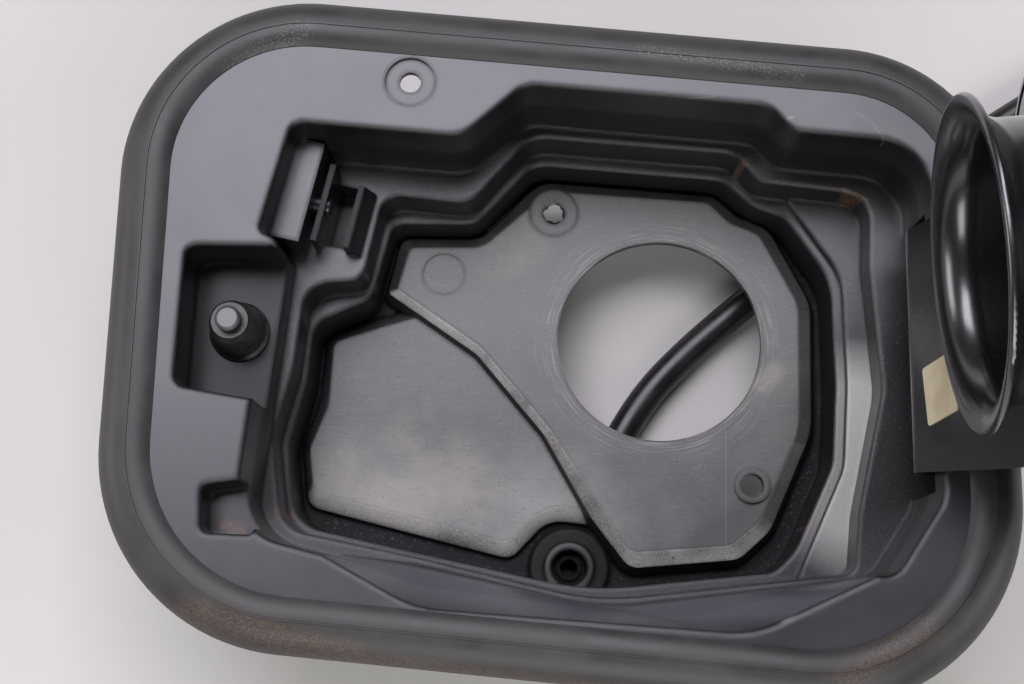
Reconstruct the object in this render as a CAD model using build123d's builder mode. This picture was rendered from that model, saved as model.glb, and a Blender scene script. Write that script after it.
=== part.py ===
# Car fuel door: a moulded filler pocket with its perimeter seal, hinged door, lock and drain hose.
# Millimetres. Origin: centre of the filler hole on the pocket floor. +X to the hinge side,
# +Y to the pocket's upper edge, +Z out of the pocket, away from the car. The door stands open.
import os
from math import atan2, cos, radians, sin, sqrt, tan

from build123d import *

os.makedirs("parts", exist_ok=True)

# Housing: heights above the pocket floor
wall = 2.5
flange_height = 47.0
ledge_height = 20.0
platform_height = 8.0
platform_rise = 2.0
low_floor_drop = 5.0
floor_bevel = 2.0
moat_depth = 9.0
buffer_seat_height = 30.0
notch_height = 36.0
wall_draft = 2.5
floor_draft = 18.0
rim_round = 1.2
ledge_round = 0.9

# Housing: flange outline, measured where each side crosses the X or Y axis
side_lean = 4.5
flange_left = -131.5
flange_right = 73.0
flange_top = 60.0
flange_bottom = -83.5
corner_upper_left = 34.0
corner_upper_right = 30.0
corner_lower = 38.0
seal_grip = 5.0
basin_right = 67.0

# Holes in the housing
filler_bore = 58.0
flange_screw_x = -73.8
flange_screw_y = 52.8
flange_screw_hole = 5.6
flange_screw_seat = 13.4
flange_seat_depth = 0.8
upper_screw_x = -33.5
upper_screw_y = 35.0
lower_screw_x = 29.0
lower_screw_y = -39.0
floor_screw_hole = 6.5
ejector_x = -63.4
ejector_y = 13.6

# Drain and hose
drain_x = -19.6
drain_y = -66.0
drain_bore = 5.0
drain_cup = 9.6
drain_cup_depth = 2.6
drain_collar = 14.8
drain_apron = 24.0
apron_rise = 1.6
hose_diameter = 9.0
hose_bore = 6.0
hose_height = -17.5
spigot_length = 16.0
spigot_overlap = 10.0
hose_clearance = 0.05
hose_way = [(-11.0, -25.0), (18.0, 12.0), (85.0, 71.2), (125.0, 101.0)]

# Hinge of the door
hinge_x = 74.0
hinge_depth = 12.5
hinge_height = flange_height - hinge_depth
open_angle = 85.5
arm_low_end = -36.0
arm_wide_end = -41.0
arm_spread = 52.0
arm_high_end = 27.0
barrel_radius = 4.0
pin_diameter = 4.0
pin_head = 7.2
hinge_end_gap = 5.0
hinge_room = 6.5
running_clearance = 0.05
spring_low_end = -24.0
spring_high_end = 10.0
spring_leaf = 0.8

# Door: reach from the hinge and heights above the hinge, both with the door shut
arm_thickness = 2.5
arm_reach = 80.0
arm_rise = 14.3
plate_height = 13.7
plate_thickness = 2.0
panel_height = 13.5
panel_skin = 1.2
panel_crown = 1200.0
panel_depth = 7.5
panel_gap = 3.0
panel_right = 60.0
cup_reach = 73.8
cup_along = 1.3
cup_tilt = 4.4
cup_rim_height = -11.0
cup_rim_radius = 36.6
cup_neck_radius = 30.8
cup_flare = 8.0
cup_wall = 2.0
label_width = 14.0
label_length = 15.0
label_turn = 7.6
label_thickness = 0.4

# Latch: its own lean, and places measured from the bolt across the slot
latch_x = -92.0
latch_y = 22.0
latch_lean = 7.5
bolt_height = 27.0
bolt_diameter = 5.0
bolt_clearance = 0.3
bolt_travel = 4.4
striker_thickness = 2.5
striker_width = 12.0

# Latch recess: places across the slot, measured from the bolt's crossing, and heights
shelf_edge = -6.0
shelf_height = 36.0
blade_edge = -2.6
blade_thickness = 1.6
blade_height = 31.0
bolt_tip = -1.2
bolt_length = 32.0
bolt_collar = 11.0
slot_edge = 4.0
slot_length = 18.0
slot_depth = 11.5

# Lock behind the recess
case_face = -17.0
case_length = 19.0
case_width = 27.0
case_height = 20.0
cover_thickness = 2.5
lock_screw = 3.2
screw_spread = 10.0
screw_rise = 6.0

# Seal profile, measured outwards from the flange outline and up from the flange
seal_ridge = 5.8
seal_rise = 2.2
seal_width = 14.4
seal_drop = 4.2
seal_nib = 0.3
seal_fit = 0.03

# Door fixings, and the arm's centre line
stud_diameter = 4.0
stud_places = [(-70.0, 24.0), (-72.0, -50.0), (36.0, -60.0), (12.0, 45.0)]
small_screw = 3.4
cup_screw_circle = 30.0
arm_heel = 0.5
arm_start = -13.2
label_reach = 20.4
label_along = -17.5
striker_middle = 0.65

# Panel edge
panel_round = 2.5
panel_middle = 108.0

# Buffer
buffer_x = -113.0
buffer_y = -15.5
buffer_base = 16.0
buffer_top = 11.5
buffer_nub = 6.6
buffer_height = 17.6
buffer_stem = 6.0


def lean_x(x_at_axis, y):
    """X of a leaning side line at height y, where the line crosses the X axis at x_at_axis."""
    return x_at_axis - y * tan(radians(side_lean))


def flange_corners(grow):
    """Corners of the flange outline, moved outwards by grow on every side."""
    top = flange_top + grow
    bottom = flange_bottom - grow
    left = flange_left - grow
    right = flange_right + grow
    return [
        (lean_x(left, top), top),
        (lean_x(right, top), top),
        (lean_x(right, bottom), bottom),
        (lean_x(left, bottom), bottom),
    ]


def corner_radii(grow):
    """Rounding radii of the flange outline in the order of its corners, grown with the outline."""
    return [r + grow for r in (corner_upper_left, corner_upper_right, corner_lower, corner_lower)]


def rounded(corners):
    """Closed outline through (x, y, radius) corners."""
    return FilletPolyline(*[(x, y) for x, y, r in corners], radius=[r for x, y, r in corners], close=True)


def swung(x, y, z):
    """Where a point of the shut door stands with the door open at its stop."""
    across = (x - hinge_x) * cos(radians(side_lean)) + y * sin(radians(side_lean))
    along = y * cos(radians(side_lean)) - (x - hinge_x) * sin(radians(side_lean))
    above = z - hinge_height
    turned = across * cos(radians(open_angle)) + above * sin(radians(open_angle))
    raised = above * cos(radians(open_angle)) - across * sin(radians(open_angle))
    return Vector(
        hinge_x + turned * cos(radians(side_lean)) - along * sin(radians(side_lean)),
        turned * sin(radians(side_lean)) + along * cos(radians(side_lean)),
        hinge_height + raised,
    )


def on_door(x, y):
    """Plan place of the shut door in the door's own plane: reach from the hinge, then along it."""
    return (
        (hinge_x - x) * cos(radians(side_lean)) - y * sin(radians(side_lean)),
        (x - hinge_x) * sin(radians(side_lean)) - y * cos(radians(side_lean)),
    )


def door_corners(shrink):
    """Corners of the door panel in the door's own plane, moved inwards by shrink."""
    top = flange_top - panel_gap - shrink
    bottom = flange_bottom + panel_gap + shrink
    left = flange_left + panel_gap + shrink
    right = panel_right - shrink
    return [
        on_door(lean_x(left, top), top),
        on_door(lean_x(right, top), top),
        on_door(lean_x(right, bottom), bottom),
        on_door(lean_x(left, bottom), bottom),
    ]


# Outlines of the basin: corner points with the rounding radius of each
basin_rim = [
    (-103.5, 39.0, 4), (-58.5, 39.0, 9), (-43.5, 55.0, 9), (21.0, 55.0, 9), (27.5, 48.5, 6),
    (lean_x(basin_right, 48.5), 48.5, 15), (lean_x(basin_right, -44.0), -44.0, 12), (59.5, -64.2, 6),
    (-70.0, -66.5, 3), (-80.5, -72.8, 3), (-104.5, -69.0, 14), (-103.4, 6.5, 2), (-108.3, 8.5, 2),
]
slope_top = [
    (-78.0, -55.0, 1), (-84.0, -71.4, 1), (-57.0, -83.6, 30), (27.0, -81.4, 25), (60.8, -60.8, 1),
    (50.0, -55.0, 1),
]
slope_foot = [
    (-78.0, -55.0, 1), (-86.0, -70.6, 1), (-60.0, -70.9, 40), (-12.0, -77.5, 60), (58.6, -63.1, 1),
    (50.0, -55.0, 1),
]
ledge_edge = [
    (-80.8, 29.8, 6), (-56.5, 29.3, 8), (-41.5, 50.3, 9), (15.5, 50.8, 8), (22.5, 43.2, 6),
    (53.5, 42.3, 8), (54.2, 22.0, 10), (59.6, -12.0, 25), (55.0, -46.0, 12), (54.8, -62.2, 4),
    (-12.0, -76.0, 70), (-60.0, -69.3, 80), (-96.8, -65.3, 9), (-102.6, -41.0, 12), (-99.4, -22.0, 20),
    (-99.2, 2.2, 8), (-83.6, 4.6, 5),
]
moat_edge = [
    (-78.6, 25.0, 4), (-54.8, 27.2, 8), (-40.2, 46.4, 8), (13.0, 46.8, 7), (22.5, 40.0, 8),
    (32.0, 37.4, 8), (46.2, 20.0, 20), (49.2, -10.0, 40), (49.6, -32.0, 15), (40.8, -57.0, 15),
    (35.5, -63.0, 6), (-14.0, -72.8, 80), (-62.0, -67.2, 60), (-95.6, -63.0, 10), (-100.2, -41.0, 12),
    (-97.4, -23.0, 20), (-97.6, -6.0, 8), (-82.2, 2.6, 5),
]
platform_side = [
    (-110.0, 60.0, 1), (31.0, 60.0, 1), (32.5, 41.0, 2), (48.8, 21.0, 18), (51.8, -10.0, 40),
    (52.2, -33.0, 15), (43.4, -58.2, 12), (36.5, -80.0, 1), (-110.0, -80.0, 1),
]
high_floor = [
    (-73.8, 20.4, 2), (-53.0, 22.4, 8), (-35.5, 41.2, 9), (10.6, 42.2, 4), (17.2, 36.6, 4),
    (26.0, 34.0, 6), (38.6, 14.0, 12), (41.0, -22.0, 20), (31.6, -49.0, 10), (24.2, -56.2, 6),
    (-3.4, -60.8, 4), (-12.7, -48.5, 8), (-28.4, -28.5, 12), (-50.4, -6.8, 12), (-76.1, 7.8, 1.5),
]
high_foot = [
    (-76.8, 23.4, 3), (-54.0, 25.4, 8), (-38.4, 44.4, 9), (12.4, 44.8, 5), (19.5, 39.2, 5),
    (29.0, 36.4, 8), (42.4, 15.0, 14), (44.8, -22.0, 20), (35.0, -51.0, 10), (27.0, -59.6, 7),
    (-3.0, -65.0, 5), (-14.9, -52.0, 8), (-30.2, -29.9, 12), (-51.6, -8.6, 12), (-79.0, 6.9, 2),
]
low_floor = [
    (-93.6, -52.0, 4), (-96.2, -40.0, 5), (-92.4, -27.0, 8), (-93.2, -8.6, 3), (-79.4, -2.6, 4),
    (-60.0, 5.0, 1), (-12.0, -42.0, 1), (-13.0, -49.4, 2), (-28.0, -49.3, 12), (-37.2, -61.0, 5),
]
low_foot = [
    (-95.0, -56.2, 5), (-98.4, -39.4, 6), (-95.2, -26.0, 10), (-95.4, -7.2, 4), (-80.6, 0.4, 4),
    (-60.0, 8.0, 1), (-9.0, -42.0, 1), (-13.0, -53.6, 2), (-26.8, -53.4, 9), (-36.2, -65.4, 5),
]
buffer_recess = [(-126.5, 2.8, 3), (-100.0, 5.0, 2), (-98.0, -36.0, 2), (-124.3, -34.0, 3)]
corner_notch = [(-113.7, -58.5, 2), (-99.0, -55.0, 2), (-99.0, -69.5, 2), (-112.0, -70.2, 2)]

# Working planes
lean = radians(side_lean)
hinge_along = (-sin(lean), cos(lean), 0)
hinge_across = (cos(lean), sin(lean), 0)
hinge_origin = Vector(hinge_x, 0, hinge_height)
hinge_section = Plane(hinge_origin, x_dir=hinge_across, z_dir=(sin(lean), -cos(lean), 0))
door_reach = -swung(hinge_x + cos(lean), sin(lean), hinge_height) + hinge_origin
door_out = swung(hinge_x, 0, hinge_height + 1) - hinge_origin
door_plane = Plane(hinge_origin, x_dir=door_reach, z_dir=door_out)
door_section = Plane(hinge_origin, x_dir=door_reach, z_dir=hinge_along)
latch_across = (cos(radians(latch_lean)), -sin(radians(latch_lean)), 0)
latch_plane = Plane((latch_x, latch_y, 0), x_dir=latch_across, z_dir=(0, 0, 1))
latch_section = Plane((latch_x, latch_y, 0), x_dir=latch_across,
                      z_dir=(-sin(radians(latch_lean)), -cos(radians(latch_lean)), 0))
bolt_plane = Plane((latch_x, latch_y, bolt_height), x_dir=(0, 0, -1), z_dir=latch_across)

striker_origin = swung(latch_x, latch_y, bolt_height)
striker_across = swung(latch_x + latch_across[0], latch_y + latch_across[1], bolt_height) - striker_origin
striker_plane = Plane(striker_origin, x_dir=striker_across, z_dir=door_out)
striker_top = hinge_height + plate_height - bolt_height
cup_foot = door_section.from_local_coords((cup_reach, plate_height, cup_along))
cup_out = door_out * cos(radians(cup_tilt)) + Vector(hinge_along) * sin(radians(cup_tilt))
cup_section = Plane(cup_foot - cup_out * plate_height, x_dir=door_reach, z_dir=door_reach.cross(cup_out))
cup_axis = Axis(cup_foot, cup_out)
arm_slope = atan2(arm_rise - arm_start, arm_reach - arm_heel)
label_rise = arm_start + (label_reach - arm_heel) * tan(arm_slope)
label_plane = Plane(
    door_section.from_local_coords((
        label_reach + arm_thickness / 2 * sin(arm_slope),
        label_rise - arm_thickness / 2 * cos(arm_slope),
        label_along,
    )),
    x_dir=door_reach * cos(arm_slope) + door_out * sin(arm_slope),
    z_dir=door_reach * sin(arm_slope) - door_out * cos(arm_slope),
)

# Lengths along the hinge
box_low = arm_low_end - hinge_end_gap
box_high = arm_high_end + hinge_end_gap
hinge_ceiling = barrel_radius + 1.0
hinge_floor = ledge_height - hinge_height

# Direction in which the drain's spigot and the hose set out
first_run = sqrt((hose_way[0][0] - drain_x) ** 2 + (hose_way[0][1] - drain_y) ** 2)
spigot_way = ((hose_way[0][0] - drain_x) / first_run, (hose_way[0][1] - drain_y) / first_run, 0)
spigot_plane = Plane((drain_x, drain_y, hose_height), x_dir=(0, 0, -1), z_dir=spigot_way)

with BuildPart() as housing:
    # Flange plate, whose outer edge sits in the seal's groove
    with BuildSketch(Plane.XY.offset(flange_height)):
        with BuildLine():
            FilletPolyline(*flange_corners(seal_grip), radius=corner_radii(seal_grip), close=True)
        make_face()
    extrude(amount=-wall)
    # Outer skin of the two tiers, the buffer recess and the corner notch
    with BuildSketch(Plane.XY.offset(flange_height)):
        with BuildLine():
            rounded(basin_rim)
        make_face()
        offset(amount=wall)
    extrude(amount=-(flange_height - ledge_height + wall), taper=wall_draft)
    for outline, height in ((slope_top, flange_height), (slope_foot, ledge_height - wall)):
        with BuildSketch(Plane.XY.offset(height)):
            with BuildLine():
                rounded(outline)
            make_face()
            offset(amount=wall)
    loft(ruled=True)
    with BuildSketch(Plane.XY.offset(ledge_height)):
        with BuildLine():
            rounded(ledge_edge)
        make_face()
        offset(amount=wall)
    extrude(amount=-(ledge_height - platform_height + wall), taper=wall_draft)
    with BuildSketch(Plane.XY.offset(platform_height)):
        with BuildLine():
            rounded(moat_edge)
        make_face()
        offset(amount=wall)
    extrude(amount=-(platform_height + moat_depth + wall), taper=wall_draft)
    with BuildSketch(Plane.XY.offset(flange_height)):
        with BuildLine():
            rounded(buffer_recess)
        make_face()
        offset(amount=wall)
    extrude(amount=-(flange_height - buffer_seat_height + wall))
    with BuildSketch(Plane.XY.offset(flange_height)):
        with BuildLine():
            rounded(corner_notch)
        make_face()
        offset(amount=wall)
    extrude(amount=-(flange_height - notch_height + wall))
    # Hinge box under the right-hand flange
    with BuildSketch(hinge_section.offset(-box_high - wall)):
        with Locations((-6.0, hinge_floor - wall)):
            Rectangle(6.0 + hinge_room + wall, hinge_ceiling - hinge_floor + 2 * wall - 0.5,
                      align=(Align.MIN, Align.MIN))
    extrude(amount=box_high - box_low + 2 * wall)
    # Hollow of the two tiers and of the moat around the floor
    with BuildSketch(Plane.XY.offset(flange_height)):
        with BuildLine():
            rounded(basin_rim)
        make_face()
    extrude(amount=-(flange_height - ledge_height), taper=wall_draft, mode=Mode.SUBTRACT)
    for outline, height in ((slope_top, flange_height), (slope_foot, ledge_height)):
        with BuildSketch(Plane.XY.offset(height)):
            with BuildLine():
                rounded(outline)
            make_face()
    loft(ruled=True, mode=Mode.SUBTRACT)
    with BuildSketch(Plane.XY.offset(ledge_height)):
        with BuildLine():
            rounded(ledge_edge)
        make_face()
    extrude(amount=-(ledge_height - platform_height), taper=wall_draft, mode=Mode.SUBTRACT)
    with BuildSketch(Plane.XY.offset(platform_height)):
        with BuildLine():
            rounded(moat_edge)
        make_face()
    extrude(amount=-(platform_height + moat_depth), taper=wall_draft, mode=Mode.SUBTRACT)
    with BuildSketch(Plane.XY.offset(flange_height)):
        with BuildLine():
            rounded(buffer_recess)
        make_face()
    extrude(amount=-(flange_height - buffer_seat_height), mode=Mode.SUBTRACT)
    with BuildSketch(Plane.XY.offset(flange_height)):
        with BuildLine():
            rounded(corner_notch)
        make_face()
    extrude(amount=-(flange_height - notch_height), mode=Mode.SUBTRACT)
    with BuildSketch(hinge_section.offset(-box_high)):
        with Locations((-12.0, hinge_floor)):
            Rectangle(12.0 + hinge_room, hinge_ceiling - hinge_floor, align=(Align.MIN, Align.MIN))
    extrude(amount=box_high - box_low, mode=Mode.SUBTRACT)
    # Platform at the hinge side, a step above the moat's edge
    with BuildSketch(Plane.XY.offset(platform_height)):
        with BuildLine():
            rounded(ledge_edge)
        make_face()
        offset(amount=wall / 2)
        with BuildLine():
            rounded(platform_side)
        make_face(mode=Mode.SUBTRACT)
    extrude(amount=platform_rise)
    # Raised floor around the filler hole and lower floor at the left, both with a bevelled edge
    for top, foot, height in ((high_floor, high_foot, 0), (low_floor, low_foot, -low_floor_drop)):
        with BuildSketch(Plane.XY.offset(height)):
            with BuildLine():
                rounded(top)
            make_face()
        with BuildSketch(Plane.XY.offset(height - floor_bevel)):
            with BuildLine():
                rounded(foot)
            make_face()
        loft(ruled=True)
        with BuildSketch(Plane.XY.offset(height - floor_bevel)):
            with BuildLine():
                rounded(foot)
            make_face()
        extrude(amount=-moat_depth - height + floor_bevel, taper=-floor_draft)
    # Hollow under both floors
    with BuildSketch(Plane.XY.offset(-low_floor_drop - wall)):
        with BuildLine():
            rounded(low_floor)
        make_face()
        offset(amount=-wall)
    extrude(amount=low_floor_drop - moat_depth, mode=Mode.SUBTRACT)
    with BuildSketch(Plane.XY.offset(-wall)):
        with BuildLine():
            rounded(high_foot)
        make_face()
        offset(amount=-wall)
    extrude(amount=-moat_depth, mode=Mode.SUBTRACT)
    # Filler hole, screw holes with their rings, and the mark of an ejector pin
    with BuildSketch(Plane.XY):
        Circle(filler_bore / 2)
    extrude(amount=-2 * wall, mode=Mode.SUBTRACT)
    with BuildSketch(Plane.XY):
        with Locations((lower_screw_x, lower_screw_y)):
            Circle(floor_screw_hole / 2 + 1.7)
    extrude(amount=0.8)
    with BuildSketch(Plane.XY):
        with Locations((upper_screw_x, upper_screw_y)):
            Circle(floor_screw_hole / 2 + 3.8)
    extrude(amount=-0.8, mode=Mode.SUBTRACT)
    with BuildSketch(Plane.XY):
        with Locations((ejector_x, ejector_y)):
            Circle(6.1)
    extrude(amount=-0.4, mode=Mode.SUBTRACT)
    with BuildSketch(Plane.XY.offset(2.0)):
        with Locations((upper_screw_x, upper_screw_y), (lower_screw_x, lower_screw_y)):
            Circle(floor_screw_hole / 2)
    extrude(amount=-6.0, mode=Mode.SUBTRACT)
    with BuildSketch(Plane.XY.offset(flange_height)):
        with Locations((flange_screw_x, flange_screw_y)):
            Circle(flange_screw_seat / 2)
    extrude(amount=-flange_seat_depth, mode=Mode.SUBTRACT)
    with BuildSketch(Plane.XY.offset(flange_height)):
        with Locations((flange_screw_x, flange_screw_y)):
            Circle(flange_screw_hole / 2)
    extrude(amount=-2 * wall, mode=Mode.SUBTRACT)

    # Sump: sloped apron and collar around the drain's cup, then its elbow and the nipple for the hose
    with BuildSketch(Plane.XY.offset(-moat_depth)):
        with BuildLine():
            rounded(moat_edge)
        make_face()
        offset(amount=wall / 2)
        with Locations((drain_x, drain_y)):
            Circle(drain_apron / 2, mode=Mode.INTERSECT)
    extrude(amount=apron_rise, taper=40.0)
    with BuildSketch(Plane((drain_x, drain_y, -moat_depth), x_dir=(1, 0, 0), z_dir=(0, -1, 0))):
        with BuildLine():
            Polyline((drain_cup / 2 + 0.8, apron_rise + 1.2), (drain_cup / 2, apron_rise + 0.6),
                     (drain_cup / 2, 0), (drain_collar / 2, 0), (drain_collar / 2, apron_rise + 0.2))
            ThreePointArc((drain_collar / 2, apron_rise + 0.2), (drain_collar / 2 - 0.5, apron_rise + 0.9),
                          (drain_cup / 2 + 0.8, apron_rise + 1.2))
        make_face()
    revolve(axis=Axis((drain_x, drain_y, 0), (0, 0, 1)))
    with BuildSketch(Plane.XY.offset(-moat_depth - wall / 2)):
        with Locations((drain_x, drain_y)):
            Circle(drain_cup / 2 + wall / 2)
    extrude(amount=wall / 2 - drain_cup_depth - 1.2)
    with BuildSketch(Plane.XY.offset(-moat_depth - wall / 2)):
        with Locations((drain_x, drain_y)):
            Circle(hose_diameter / 2)
    extrude(amount=hose_height - hose_diameter / 2 + moat_depth + wall / 2)
    with BuildSketch(Plane.XY.offset(-moat_depth + 2 * apron_rise)):
        with Locations((drain_x, drain_y)):
            Circle(drain_cup / 2)
    extrude(amount=-drain_cup_depth - 2 * apron_rise, mode=Mode.SUBTRACT)
    with BuildSketch(Plane.XY.offset(-moat_depth - drain_cup_depth)):
        with Locations((drain_x, drain_y)):
            Circle(drain_bore / 2 + 1.0)
    extrude(amount=1.2)
    with BuildSketch(spigot_plane):
        Circle(hose_diameter / 2)
    extrude(amount=spigot_length - spigot_overlap)
    with BuildSketch(spigot_plane):
        Circle(hose_bore / 2 - hose_clearance)
    extrude(amount=spigot_length)
    with BuildSketch(Plane.XY.offset(-moat_depth + 2.0)):
        with Locations((drain_x, drain_y)):
            Circle(drain_bore / 2)
    extrude(amount=hose_height + moat_depth - 2.0, mode=Mode.SUBTRACT)
    with BuildSketch(spigot_plane):
        Circle(hose_bore / 2 - 1.2)
    extrude(amount=spigot_length + 1.0, mode=Mode.SUBTRACT)
    # Latch recess: shelf, blade beside the slot, ramped block, slot and the bolt's way
    with BuildSketch(latch_plane.offset(ledge_height - wall)):
        with Locations((shelf_edge, 0.5)):
            Rectangle(9.5, 28.0, align=(Align.MAX, Align.CENTER))
    extrude(amount=shelf_height - ledge_height + wall)
    with BuildSketch(latch_plane.offset(ledge_height - wall - 1.0)):
        with Locations((shelf_edge - wall, 0.5)):
            Rectangle(4.0, 22.0, align=(Align.MAX, Align.CENTER))
    extrude(amount=shelf_height - ledge_height + 1.0, mode=Mode.SUBTRACT)
    with BuildSketch(latch_plane.offset(ledge_height - wall)):
        with Locations((blade_edge, 0)):
            Rectangle(blade_thickness, 22.0, align=(Align.MAX, Align.CENTER))
    extrude(amount=blade_height - ledge_height + wall)
    with BuildSketch(latch_section.offset(-8.0)):
        with BuildLine():
            Polyline((4.2, ledge_height - 1.0), (4.2, bolt_height), (5.6, bolt_height),
                     (8.4, ledge_height + 1.5), (8.4, ledge_height - 1.0), close=True)
        make_face()
    extrude(amount=18.0)
    with BuildSketch(latch_plane.offset(ledge_height - wall / 2)):
        with Locations((blade_edge - wall, 0)):
            Rectangle(slot_edge - blade_edge + 2 * wall, slot_length + 2 * wall,
                      align=(Align.MIN, Align.CENTER))
    extrude(amount=-slot_depth - wall / 2)
    with BuildSketch(latch_plane.offset(ledge_height + 1.0)):
        with Locations((blade_edge, 0)):
            Rectangle(slot_edge - blade_edge, slot_length, align=(Align.MIN, Align.CENTER))
    extrude(amount=-slot_depth - 1.0, mode=Mode.SUBTRACT)
    # Posts and holes of the lock's screws, and the hole for its bolt
    with BuildSketch(bolt_plane.offset(case_face)):
        with Locations((-screw_rise, screw_spread), (-screw_rise, -screw_spread)):
            Circle(4.0)
    extrude(amount=-case_face - 14.0)
    with BuildSketch(bolt_plane.offset(case_face)):
        with Locations((-screw_rise, screw_spread), (-screw_rise, -screw_spread)):
            Circle(lock_screw / 2 + running_clearance)
    extrude(amount=3.0, mode=Mode.SUBTRACT)
    with BuildSketch(bolt_plane.offset(case_face)):
        Circle(bolt_diameter / 2 + bolt_clearance)
    extrude(amount=blade_edge - case_face + 0.5, mode=Mode.SUBTRACT)
    # Hole for the buffer's stem and the bore of the hinge pin
    with BuildSketch(Plane.XY.offset(buffer_seat_height)):
        with Locations((buffer_x, buffer_y)):
            Circle(buffer_stem / 2 + bolt_clearance)
    extrude(amount=-2 * wall, mode=Mode.SUBTRACT)
    with BuildSketch(hinge_section.offset(-box_high - 2 * wall)):
        Circle(pin_diameter / 2 + running_clearance)
    extrude(amount=box_high - box_low + 4 * wall, mode=Mode.SUBTRACT)
    # Rounded edges of the flange opening, the ledge, the moat and the platform
    for height, size in ((flange_height, rim_round), (ledge_height, ledge_round),
                         (platform_height, ledge_round)):
        level = housing.faces().filter_by_position(Axis.Z, height - 0.01, height + 0.01)
        tier = level.sort_by(SortBy.AREA)[-1]
        fillet(tier.inner_wires().sort_by(SortBy.LENGTH)[-1].edges(), size)
    platform_top = platform_height + platform_rise
    platform_edges = housing.edges().filter_by_position(Axis.Z, platform_top - 0.01, platform_top + 0.01)
    fillet(platform_edges.filter_by(lambda edge: not edge.is_interior), ledge_round)

housing.part.label = "housing"
export_step(housing.part, "parts/housing.step")
print("housing", housing.part.volume, housing.part.is_valid, len(housing.part.solids()))

with BuildPart() as perimeter_seal:
    # One profile swept around the flange: crowned lip, parting nib, skirt and the groove for the flange edge
    with BuildLine(Plane.XY.offset(flange_height)) as seal_path:
        FilletPolyline(*flange_corners(0), radius=corner_radii(0), close=True)
    seal_start = seal_path.wire() @ 0
    seal_way = seal_path.wire() % 0
    with BuildSketch(Plane(seal_start, x_dir=Vector(0, 0, 1).cross(seal_way), z_dir=seal_way)):
        with BuildLine():
            Line((0.3, seal_fit), (0.3, 0.25))
            ThreePointArc((0.3, 0.25), (seal_ridge / 2 - 0.4, seal_rise - 0.5), (seal_ridge, seal_rise))
            Polyline((seal_ridge, seal_rise), (seal_ridge + 0.1, seal_rise + seal_nib),
                     (seal_ridge + 0.1 + seal_nib, seal_rise + seal_nib),
                     (seal_ridge + 0.2 + seal_nib, seal_rise))
            ThreePointArc((seal_ridge + 0.2 + seal_nib, seal_rise), (seal_ridge + 5.0, 0.6),
                          (seal_width, -seal_drop))
            Polyline((seal_width, -seal_drop), (seal_width - 0.2, -seal_drop - 0.7),
                     (seal_grip + 2.5, -seal_drop + 0.2), (seal_grip - 2.5, -seal_drop - 0.4),
                     (seal_grip - 2.5, -wall - seal_fit),
                     (seal_grip + seal_fit, -wall - seal_fit), (seal_grip + seal_fit, seal_fit),
                     (0.3, seal_fit))
        make_face()
    sweep(path=seal_path.wire())

perimeter_seal.part.label = "perimeter_seal"
export_step(perimeter_seal.part, "parts/perimeter_seal.step")
print("seal", perimeter_seal.part.volume, perimeter_seal.part.is_valid, len(perimeter_seal.part.solids()))

with BuildPart() as door_buffer:
    # Rubber stop: base, tapered body, nub, and the stem with its retaining bulb
    with BuildSketch(Plane.XZ):
        with BuildLine():
            Polyline((0, -wall - 4.0), (buffer_stem / 2 - 1.0, -wall - 4.0),
                     (buffer_stem / 2 + 1.2, -wall - 0.4), (buffer_stem / 2 + 1.2, -wall),
                     (buffer_stem / 2, -wall), (buffer_stem / 2, 0),
                     (buffer_base / 2, 0), (buffer_base / 2, 1.2), (buffer_base / 2 - 0.8, 2.0),
                     (buffer_top / 2, buffer_height - 5.0), (buffer_top / 2 - 1.0, buffer_height - 3.2),
                     (buffer_nub / 2, buffer_height - 3.2), (buffer_nub / 2, buffer_height - 0.8),
                     (buffer_nub / 2 - 0.8, buffer_height), (0, buffer_height), close=True)
        make_face()
    revolve(axis=Axis.Z)

door_buffer.part.label = "door_buffer"
door_buffer.part.location = Location((buffer_x, buffer_y, buffer_seat_height))
export_step(door_buffer.part, "parts/door_buffer.step")

with BuildPart() as hinge_pin:
    # Steel pin with a flat head at its lower end
    with BuildSketch(hinge_section.offset(-box_high - wall - 3.0)):
        Circle(pin_diameter / 2)
    extrude(amount=box_high - box_low + 2 * wall + 3.0)
    with BuildSketch(hinge_section.offset(-box_low + wall)):
        Circle(pin_head / 2)
    extrude(amount=1.6)

hinge_pin.part.label = "hinge_pin"
export_step(hinge_pin.part, "parts/hinge_pin.step")

with BuildPart() as hinge_clip:
    # Retaining ring pushed onto the pin's upper end
    with BuildSketch(hinge_section.offset(-box_high - wall - 1.2)):
        Circle(pin_diameter / 2 + 2.4)
        Circle(pin_diameter / 2, mode=Mode.SUBTRACT)
    extrude(amount=1.2)

hinge_clip.part.label = "hinge_clip"
export_step(hinge_clip.part, "parts/hinge_clip.step")

with BuildPart() as hinge_spacers:
    # Two nylon spacers between the arm and the ends of the hinge box
    with BuildSketch(hinge_section.offset(-box_high + 0.2)):
        Circle(barrel_radius + 0.4)
        Circle(pin_diameter / 2 + running_clearance, mode=Mode.SUBTRACT)
    extrude(amount=hinge_end_gap - 0.6)
    with BuildSketch(hinge_section.offset(-arm_low_end + 0.4)):
        Circle(barrel_radius + 0.4)
        Circle(pin_diameter / 2 + running_clearance, mode=Mode.SUBTRACT)
    extrude(amount=hinge_end_gap - 0.6)

hinge_spacers.part.label = "hinge_spacers"
export_step(hinge_spacers.part, "parts/hinge_spacers.step")

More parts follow.
